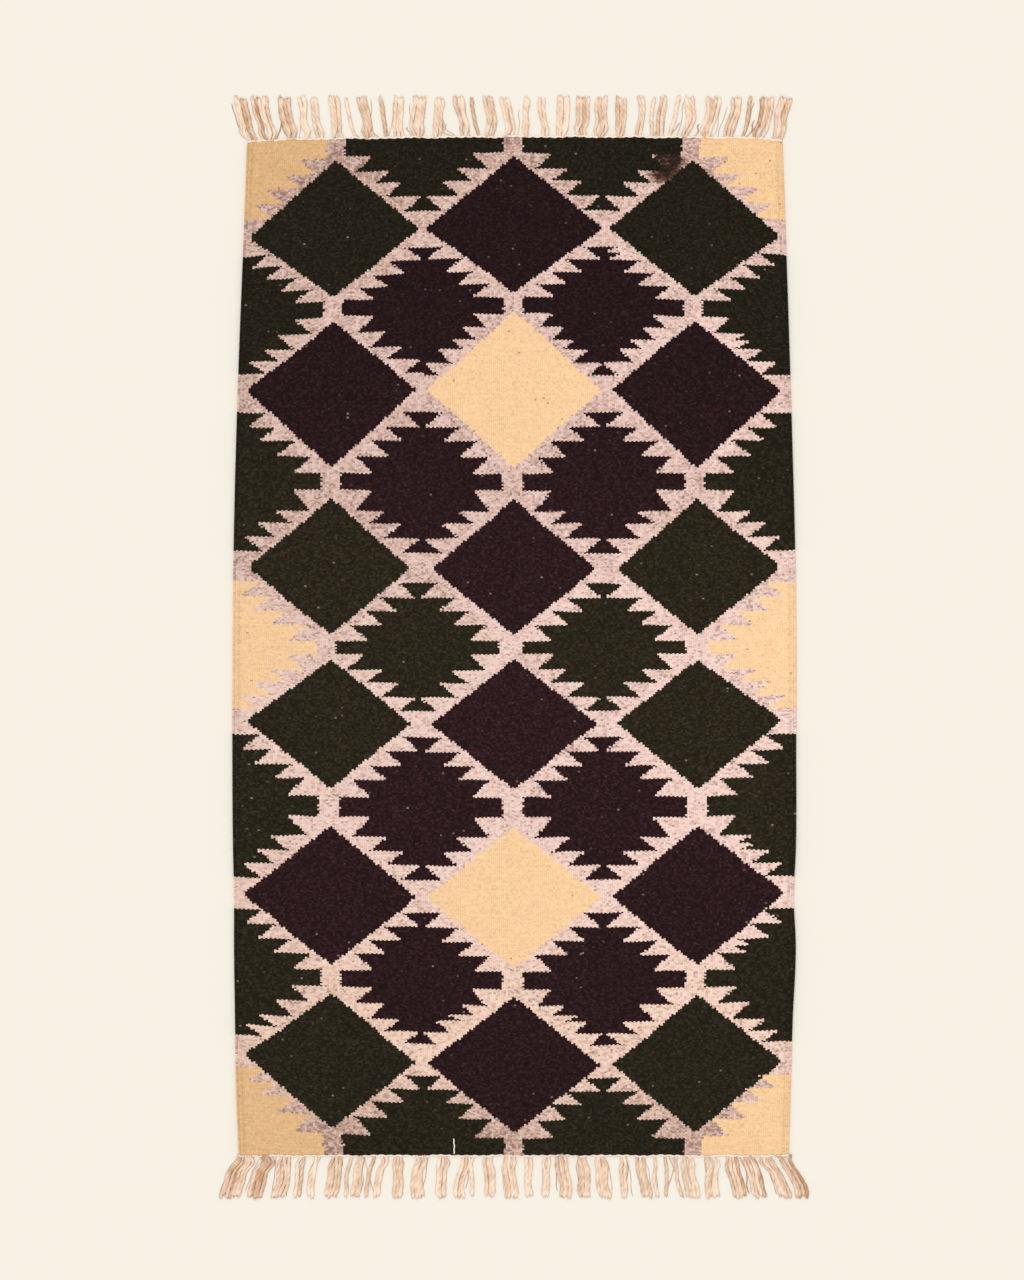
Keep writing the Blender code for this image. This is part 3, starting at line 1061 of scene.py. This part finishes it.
def map_cloth(mesh):
    """Maps both faces of the cloth by its chart, with the rim just outside them."""
    chart = np.empty(len(mesh.vertices) * 3, np.float32)
    mesh.attributes["chart"].data.foreach_get("vector", chart)
    column = chart[::3] / CLOTH_COLUMN
    points = points_of(mesh)
    low_side = points[:, 2] < 0.5 * CLOTH_THICK + lift_at(points[:, 0], points[:, 1])
    far, near = far_line(points[:, 0]), near_line(points[:, 0])
    length = (points[:, 1] - near) / (far - near)
    at_side = low_side & (np.abs(column) > 0.9999)
    at_end = low_side & (np.abs(length - 0.5) > 0.4999)
    share_across = inset((column + 1.0) / 2.0, MAP_MARGIN) + at_side * np.sign(column) * RIM_MARGIN
    share_along = inset(length, MAP_MARGIN) + at_end * np.sign(length - 0.5) * RIM_MARGIN
    lay_flat_map(mesh, share_across, share_along, 1)


# ------------------------------------------------------------------ twisted and wrapped yarn

def screw_master(name, outline, lay, turns, steps):
    """Sweeps a closed outline up a screw, and gives its points and faces with capped ends."""
    count = len(outline)
    edges = [(number, (number + 1) % count) for number in range(count)]
    master = piece_of(name, outline, [], edges)
    sweep = master.modifiers.new("sweep", "SCREW")
    sweep.axis = "Z"
    sweep.angle = 2.0 * math.pi
    sweep.screw_offset = lay
    sweep.iterations = turns
    sweep.steps = steps
    sweep.render_steps = steps
    sweep.use_merge_vertices = False
    apply_modifiers(master)
    bpy.ops.object.mode_set(mode="EDIT")
    bpy.ops.mesh.select_all(action="DESELECT")
    bpy.ops.mesh.select_non_manifold()
    bpy.ops.mesh.fill_holes(sides=0)
    bpy.ops.object.mode_set(mode="OBJECT")
    outward_faces(master)
    return taken_apart(master)


def taken_apart(master):
    """Gives the points and faces of a master, which is then put away."""
    mesh = master.data
    points, faces = points_of(mesh), faces_of(mesh)
    bpy.data.objects.remove(master)
    bpy.data.meshes.remove(mesh)
    return points, faces


def plied_outline(radius, plies, sides, groove):
    """Draws the outline of plies twisted together, seen end on, with grooves between them."""
    outline = []
    for number in range(sides):
        angle = 2.0 * math.pi * number / sides
        reach = radius * (1.0 - groove + groove * abs(math.cos(0.5 * plies * angle)))
        outline.append((reach * math.cos(angle), reach * math.sin(angle), 0.0))
    return outline


def wrap_outline(inner, outer, wide, sides):
    """Draws the end-on outline of a flat yarn that is wound round a bundle."""
    middle, thick = (inner + outer) / 2.0, outer - inner
    return [
        (
            middle + 0.5 * thick * math.cos(2.0 * math.pi * number / sides),
            0.0,
            0.5 * wide * math.sin(2.0 * math.pi * number / sides),
        )
        for number in range(sides)
    ]


def grooves_of(points, radius, groove):
    """Finds how deep each point of a twisted yarn lies between its plies."""
    reach = np.hypot(points[:, 0], points[:, 1]) / radius
    return np.clip((1.0 - reach) / groove, 0.0, 1.0)


# ------------------------------------------------------------------ the selvedges

WRAP_PITCH = 0.0033
WRAP_STEPS = 8
WRAP_SIDES = 6
WRAP_OVERLAP = 1.12  # a wrap's width, as a share of the pitch
WRAP_INNER = 0.55  # its inner side, as a share of the selvedge's half width
WRAP_INSET = 0.0006  # from the cloth's end to the first wrap


def wrap_selvedge(side, material):
    """Winds the wefts round the bundle of edge warps, along one side of the cloth."""
    edge_place = side * END_HALF_WIDTH
    start, end = near_line(edge_place) + WRAP_INSET, far_line(edge_place) - WRAP_INSET
    turns = int((end - start) / WRAP_PITCH)
    radius = 0.5 * SELVEDGE_WIDE
    outline = wrap_outline(WRAP_INNER * radius, radius, WRAP_OVERLAP * WRAP_PITCH, WRAP_SIDES)
    points, faces = screw_master("wrap", outline, WRAP_PITCH, turns, WRAP_STEPS)
    rise = points[:, 2]
    along = between(start, end, share_of(rise))
    edge = half_width(along, side)
    across = side * (edge - radius) + points[:, 0]
    stretch = SELVEDGE_HIGH / SELVEDGE_WIDE
    lift = lift_at(side * edge, along)
    height = 0.5 * SELVEDGE_HIGH + CLEAR + lift + points[:, 1] * stretch
    name = "selvedge_right" if side > 0 else "selvedge_left"
    piece = piece_of(name, in_rows(across, along, height), faces)
    # Painted shade deep between the wraps, and painted light on the selvedge's outer side, which
    # would otherwise lie in shade
    depth = 1.0 - np.hypot(points[:, 0], points[:, 1]) / radius
    outer = np.clip(side * points[:, 0] / radius, 0.0, 1.0)
    painted_shading = np.clip(depth * 1.2, 0.0, 0.5) - 0.6 * outer
    keep_chart(piece.data, side * SELVEDGE_COLUMN, row_at(across, along), painted_shading)
    piece.data.materials.append(material)
    lay_flat_map(piece.data, share_of(along), share_of(across), 10)
    return piece


# ------------------------------------------------------------------ the headings

HEADING_STEPS = 12
HEADING_SIDES = 10
HEADING_GROOVE = 0.30
HEADING_SHADE = -0.75


def twine_heading(end, material):
    """Twists the heading that holds the last weft, along one end of the cloth."""
    lay = 2.0 * LOBE_PITCH
    turns = int(2.0 * HEADING_HALF_WIDTH / lay)
    radius = 0.5 * HEADING_WIDE
    outline = plied_outline(radius, 2, HEADING_SIDES, HEADING_GROOVE)
    points, faces = screw_master("heading", outline, lay, turns, HEADING_STEPS)
    across = between(-HEADING_HALF_WIDTH, HEADING_HALF_WIDTH, share_of(points[:, 2]))
    across = across * half_width(end.line(0.0), across) / FAR_HALF_WIDTH
    along = end.line(across) + end.outwards * HEADING_GAP + points[:, 0]
    thick = 1.0 + 0.13 * np.sin(230.0 * across) + 0.09 * np.sin(610.0 * across + 1.0)
    along = along + end.outwards * (thick - 1.0) * points[:, 0]
    height = 0.5 * HEADING_HIGH + CLEAR + points[:, 1] * HEADING_HIGH / HEADING_WIDE
    piece = piece_of("heading_" + end.name, in_rows(across, along, height), faces)
    groove = grooves_of(points, radius, HEADING_GROOVE)
    tone = 0.45 + 0.35 * np.sin(310.0 * across) * np.sin(47.0 * across + 0.8)
    # Painted shade in the grooves between the heading's plies
    write_vector(piece.data, "yarn", (0.4 * groove, HEADING_SHADE, tone))
    piece.data.materials.append(material)
    lay_flat_map(piece.data, share_of(across), share_of(points[:, 0]), 8)
    return piece


# ------------------------------------------------------------------ the fringes

YARN_LAY = 0.030
YARN_TURNS = 2
YARN_STEPS = 20
YARN_PLIES = 3
YARN_SIDES = 12
YARN_GROOVE = 0.12
HAIRS_PER_TIP = 12
HAIRS_PER_SIDE = 10
HAIR_LENGTH = 0.0058
HAIR_RADIUS = 0.00016
HAIR_SHADE = 0.15
HAIRY_WIDE = 0.5  # yarns thinner than this share of the fringe's have no hairs
SHADE_HIGH = 0.0022  # below this height a yarn lies in the shade of the others
THREAD_NUMBERS = (0.0, -0.8, 0.3)
FULL_TURN = 6.28
WISP_CHANCE = 0.55
CROSSING_CHANCE = 0.40
SPLAY_CHANCE = 0.28
KNEE_CHANCE = 0.45
KNEE = 0.0042  # how far a lock bends aside near its root
CROSSING_LIFT = 0.0022  # how far a yarn is lifted where it crosses the next one
ROOT_LIFT = 0.0008  # and every other yarn near its root
WISP_APART = 0.0006  # from a lock's side to the wisp beside it
LOCK_TONE = 0.55  # how much of a yarn's tone it shares with its lock

# The lowest and the highest of what varies from lock to lock, and from yarn to yarn in a lock
TIP_SPREAD = (0.88, 1.04)  # the pitch of the tips, as a share of the usual one
ROOT_SPREAD = (0.80, 1.30)
SPLAYED_SPREAD = (1.6, 2.6)
GATHERED = (0.10, 0.34)  # the share of its length where a lock is gathered
SWAY = (-0.0032, 0.0032)
SWAY_APART = (-0.0008, 0.0008)
PHASE = (0.0, 2.0)
PHASE_APART = (-0.12, 0.12)
PARTING = (-0.0006, 0.0026)  # how far the yarns part near the root
ROOT_APART = (-0.0003, 0.0003)
TIP_APART = (-0.0007, 0.0007)
CUT = (-0.0004, 0.0042)
THICKNESS = (0.86, 1.06)
WISP_TIP = (-0.0012, 0.0022)
WISP_CUT = (0.002, 0.014)
WISP_SWAY = (-0.0022, 0.0022)
WISP_THICKNESS = (0.14, 0.26)

# A yarn's measures, as a stray yarn has them where nothing else is said
Yarn = namedtuple(
    "Yarn", "root tip from_side to_side start cut gathered lift sway phase parting wide tone"
)
STRAY_YARN = Yarn(
    root=0.0, tip=0.0, from_side=0.0, to_side=0.0, start=-0.0016, cut=0.0, gathered=0.4,
    lift=0.0012, sway=0.0, phase=0.0, parting=0.0, wide=1.0, tone=0.0,
)


def yarn_path(yarn, length, share):
    """Gives how far across and out a yarn is, and its height, at shares of its length."""
    lean = 0.75 * share + 0.25 * smooth_step(0.0, 0.5, share)
    spread = 0.8 * smooth_step(0.0, yarn.gathered, share) + 0.2 * share
    loose = smooth_step(0.0, 0.4, share)
    across = between(yarn.root, yarn.tip, lean) + between(yarn.from_side, yarn.to_side, spread)
    across = across + yarn.sway * np.sin(math.pi * (1.7 * share + yarn.phase)) * loose
    across = across + yarn.parting * np.exp(-(((share - 0.20) / 0.12) ** 2))
    across = across + 0.0006 * np.sin(2.0 * math.pi * (2.2 * share + 3.0 * yarn.phase)) * share
    out = yarn.start + length * share
    hump = yarn.lift * np.exp(-(((share - 0.5 * yarn.gathered) / 0.16) ** 2))
    settle = 0.0008 * (1.0 - smooth_step(0.0, 0.16, share))
    return across, out, 0.5 * YARN_WIDE * YARN_FLAT * yarn.wide + settle + hump


def gather_lock(lock, dice):
    """Lists the yarns of one lock, from the lock's left to its right, and a wisp beside some."""
    count = lock.strands
    order = list(range(count))
    for first in range(count - 1):
        if dice.random() < CROSSING_CHANCE:
            order[first], order[first + 1] = order[first + 1], order[first]
    pitch = TIP_PITCH * dice.uniform(*TIP_SPREAD)
    splayed = dice.random() < SPLAY_CHANCE
    root_pitch = ROOT_PITCH * dice.uniform(*(SPLAYED_SPREAD if splayed else ROOT_SPREAD))
    whole = STRAY_YARN._replace(
        root=lock.root * MILLIMETRE,
        tip=lock.tip * MILLIMETRE,
        gathered=dice.uniform(*GATHERED),
        lift=0.0,
        sway=dice.uniform(*SWAY),
        phase=dice.uniform(*PHASE),
        parting=0.0 if splayed or count == 1 else max(0.0, dice.uniform(*PARTING)),
        tone=dice.random(),
    )
    knee = dice.uniform(-KNEE, KNEE) if dice.random() < KNEE_CHANCE else 0.0
    yarns = []
    for number, place in enumerate(order):
        side = number - 0.5 * (count - 1)
        yarns.append(
            whole._replace(
                from_side=side * root_pitch + dice.uniform(*ROOT_APART),
                to_side=(place - 0.5 * (count - 1)) * pitch + dice.uniform(*TIP_APART),
                cut=dice.uniform(*CUT),
                lift=CROSSING_LIFT if place > number else ROOT_LIFT * (number % 2),
                sway=whole.sway + dice.uniform(*SWAY_APART),
                phase=whole.phase + dice.uniform(*PHASE_APART),
                parting=(math.copysign(whole.parting, side) if side else 0.0) + knee,
                wide=dice.uniform(*THICKNESS),
                tone=LOCK_TONE * whole.tone + (1.0 - LOCK_TONE) * dice.random(),
            )
        )
    if dice.random() < WISP_CHANCE:
        beside = math.copysign(0.5 * count * pitch + WISP_APART, dice.uniform(-1.0, 1.0))
        yarns.append(
            whole._replace(
                from_side=0.4 * beside,
                to_side=beside + dice.uniform(*WISP_TIP),
                cut=dice.uniform(*WISP_CUT),
                sway=dice.uniform(*WISP_SWAY),
                wide=dice.uniform(*WISP_THICKNESS),
                tone=dice.random(),
            )
        )
    return yarns


def lay_strays(strays, dice):
    """Lists the yarns that lie apart from the locks."""
    return [
        STRAY_YARN._replace(
            root=stray.root * MILLIMETRE,
            tip=stray.tip * MILLIMETRE,
            cut=(1.0 - stray.reach) * (FRINGE_END - FAR_MIDDLE),
            sway=stray.bow * MILLIMETRE,
            wide=stray.wide,
            tone=dice.uniform(0.5, 1.0),
        )
        for stray in strays
    ]


def lay_yarn(points, yarn, length, turn):
    """Lays a straight master yarn along its path, turned about itself and opened at its tip."""
    share = share_of(points[:, 2])
    width = 0.74 + 0.26 * smooth_step(0.02, 0.30, share)
    width = width + 0.12 * smooth_step(0.74, 0.90, share) - 0.66 * smooth_step(0.92, 1.0, share)
    width = width * yarn.wide
    sideways = (points[:, 0] * math.cos(turn) - points[:, 1] * math.sin(turn)) * width
    upwards = (points[:, 0] * math.sin(turn) + points[:, 1] * math.cos(turn)) * width
    across, out, height = yarn_path(yarn, length, share)
    return across + sideways, out, height + upwards * YARN_FLAT, share


def lay_thread(points):
    """Lays a fine straight yarn on the cloth as a loose thread."""
    share = share_of(points[:, 2])
    thin = THREAD_WIDE / YARN_WIDE
    start, end = FIELD_THREAD
    bow = 0.0008 * np.sin(math.pi * share) + 0.0003 * np.sin(5.0 * math.pi * share)
    across = between(start[0], end[0], share) + bow
    along = between(start[1], end[1], share)
    height = CLOTH_THICK + lift_at(across, along) + 0.5 * THREAD_WIDE
    return in_rows(across + points[:, 0] * thin, along, height + points[:, 1] * thin)


def hair_master():
    """Makes one fine hair, pointing up from the origin."""
    select()
    bpy.ops.mesh.primitive_cone_add(
        vertices=3, radius1=HAIR_RADIUS, radius2=0.35 * HAIR_RADIUS, depth=HAIR_LENGTH,
        location=(0.0, 0.0, 0.5 * HAIR_LENGTH),
    )
    bpy.ops.object.transform_apply(location=True, rotation=True, scale=True)
    return taken_apart(bpy.context.object)


def loose_hairs(yarn, length, outwards, hair, dice):
    """Fans fine hairs out of a yarn's cut tip, and a few short ones out of its sides."""
    shapes = []
    sideways, thick, rise = hair.T
    for number in range(HAIRS_PER_TIP + HAIRS_PER_SIDE):
        if number < HAIRS_PER_TIP:
            share = dice.uniform(0.93, 0.97)
            beside = dice.uniform(-0.45, 0.45)
            fan = dice.uniform(-0.34, 0.34)
            long = dice.uniform(0.5, 1.1)
        else:
            share = dice.uniform(0.10, 0.93)
            beside = dice.choice((-0.36, 0.36))
            fan = math.copysign(dice.uniform(0.8, 2.2), beside)
            long = dice.uniform(0.20, 0.42)
        across, out, height = yarn_path(yarn, length, np.array([share]))
        above = dice.uniform(-0.0006, 0.0003)
        dip = dice.uniform(-0.10, 0.02)
        across = across + beside * YARN_WIDE * yarn.wide + sideways + rise * long * fan
        height = np.maximum(height + above + thick + rise * dip, CLEAR)
        shapes.append(in_rows(across, outwards * (out + rise * long), height))
    return shapes


def yarn_shade(height, share, from_middle, luck):
    """Gives how dark a yarn is along its length: painted shade near the floor, more of it in outer
    locks, and painted shade on random yarns as if they lay under others; it is also darker at its
    root.
    """
    painted_shade_below = np.clip((SHADE_HIGH - height) / SHADE_HIGH, 0.0, 1.0)
    outer_lock = smooth_step(0.24, 0.38, from_middle)
    root_end = 1.0 - smooth_step(0.0, 0.25, share)
    tip_end = smooth_step(0.75, 1.0, share)
    shade = 0.18 + (0.66 + 0.60 * outer_lock) * painted_shade_below + 0.12 * root_end
    return shade + luck * (0.28 + 0.50 * outer_lock) - 0.16 * tip_end


def hang_fringe(end, material):
    """Lays every lock of one fringe on the floor, from the heading out to the trimmed tips."""
    name = "fringe_yarns_" + end.name
    dice = random.Random(end.seed)
    radius = 0.5 * YARN_WIDE
    outline = plied_outline(radius, YARN_PLIES, YARN_SIDES, YARN_GROOVE)
    master, faces = screw_master("yarn", outline, YARN_LAY, YARN_TURNS, YARN_STEPS)
    hair, hair_faces = hair_master()
    groove = grooves_of(master, radius, YARN_GROOVE)
    yarns = [yarn for lock in end.locks for yarn in gather_lock(lock, dice)]
    yarns += lay_strays(end.strays, dice)
    yarn_shapes, yarn_numbers, hair_shapes, hair_numbers = [], [], [], []
    for yarn in yarns:
        line = end.outwards * end.line(yarn.root) + HEADING_GAP
        laid = yarn._replace(start=line + yarn.start)
        length = FRINGE_END - laid.start - yarn.cut
        across, out, height, share = lay_yarn(master, laid, length, dice.uniform(0, FULL_TURN))
        height = np.maximum(height, CLEAR)
        yarn_shapes.append(in_rows(across, end.outwards * out, height))
        # The painted shade of this yarn along its length
        depth = yarn_shade(height, share, abs(yarn.root), dice.random() ** 2)
        yarn_numbers.append(in_rows(groove, depth, yarn.tone))
        if yarn.wide > HAIRY_WIDE:
            for shape in loose_hairs(laid, length, end.outwards, hair, dice):
                hair_shapes.append(shape)
                hair_numbers.append(np.tile([0.0, HAIR_SHADE, yarn.tone], (len(hair), 1)))
    if end.name == "near":
        yarn_shapes.append(lay_thread(master))
        yarn_numbers.append(np.tile(THREAD_NUMBERS, (len(master), 1)))
    piece = joined_copies(name, yarn_shapes, faces, yarn_numbers)
    select(piece, joined_copies(name + "_tips", hair_shapes, hair_faces, hair_numbers))
    bpy.ops.object.join()
    outward_faces(piece)
    piece.data.materials.append(material)
    points = points_of(piece.data)
    lay_flat_map(piece.data, share_of(points[:, 0]), share_of(points[:, 1]), 4)
    return piece


# ------------------------------------------------------------------ the room

def light_room():
    """Lays the floor and sets soft studio light round it."""
    select()
    bpy.ops.mesh.primitive_plane_add(size=FLOOR_SIZE)
    floor = bpy.context.object
    floor.name = "floor"
    floor.data.materials.append(floor_recipe())

    world = bpy.data.worlds.new("studio")
    bpy.context.scene.world = world
    world.use_nodes = True
    background = world.node_tree.nodes["Background"]
    background.inputs["Color"].default_value = WHITE
    background.inputs["Strength"].default_value = SKY_STRENGTH

    lamp = bpy.data.lights.new("window", "SUN")
    lamp.energy = LAMP_STRENGTH
    lamp.angle = LAMP_SOFTNESS
    lamp.color = LAMP_COLOR
    window = bpy.data.objects.new("window", lamp)
    window.rotation_euler = LAMP_TILT
    bpy.context.scene.collection.objects.link(window)
    bpy.context.scene.view_settings.view_transform = "Standard"
    return floor


def set_camera():
    """Stands the camera straight above the rug."""
    lens = bpy.data.cameras.new("camera")
    lens.sensor_fit = "VERTICAL"
    lens.sensor_height = SENSOR
    lens.lens = SENSOR * CAMERA_PLACE[2] / IMAGE_HIGH
    camera = bpy.data.objects.new("camera", lens)
    camera.location = CAMERA_PLACE
    bpy.context.scene.collection.objects.link(camera)
    bpy.context.scene.camera = camera


def main():
    """Builds the rug and its room, attaches every piece to the root body and hides the solids that
    the pieces dress.
    """
    set_camera()
    floor = light_room()
    wool = wool_recipe()
    cotton = cotton_recipe()
    rug = weave_cloth(wool)
    edges = [wrap_selvedge(side, wool) for side in (-1.0, 1.0)]
    headings = [twine_heading(end, cotton) for end in ENDS]
    far_end, near_end = zip(headings, [hang_fringe(end, cotton) for end in ENDS])
    for pieces, slot, node in (
        ([rug] + edges, "woven_wool", "woven_cloth"),
        (far_end, "cotton_fringe", "fringe_far"),
        (near_end, "cotton_fringe", "fringe_near"),
    ):
        for piece in pieces:
            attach(piece, "root")
            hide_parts(node)


main()
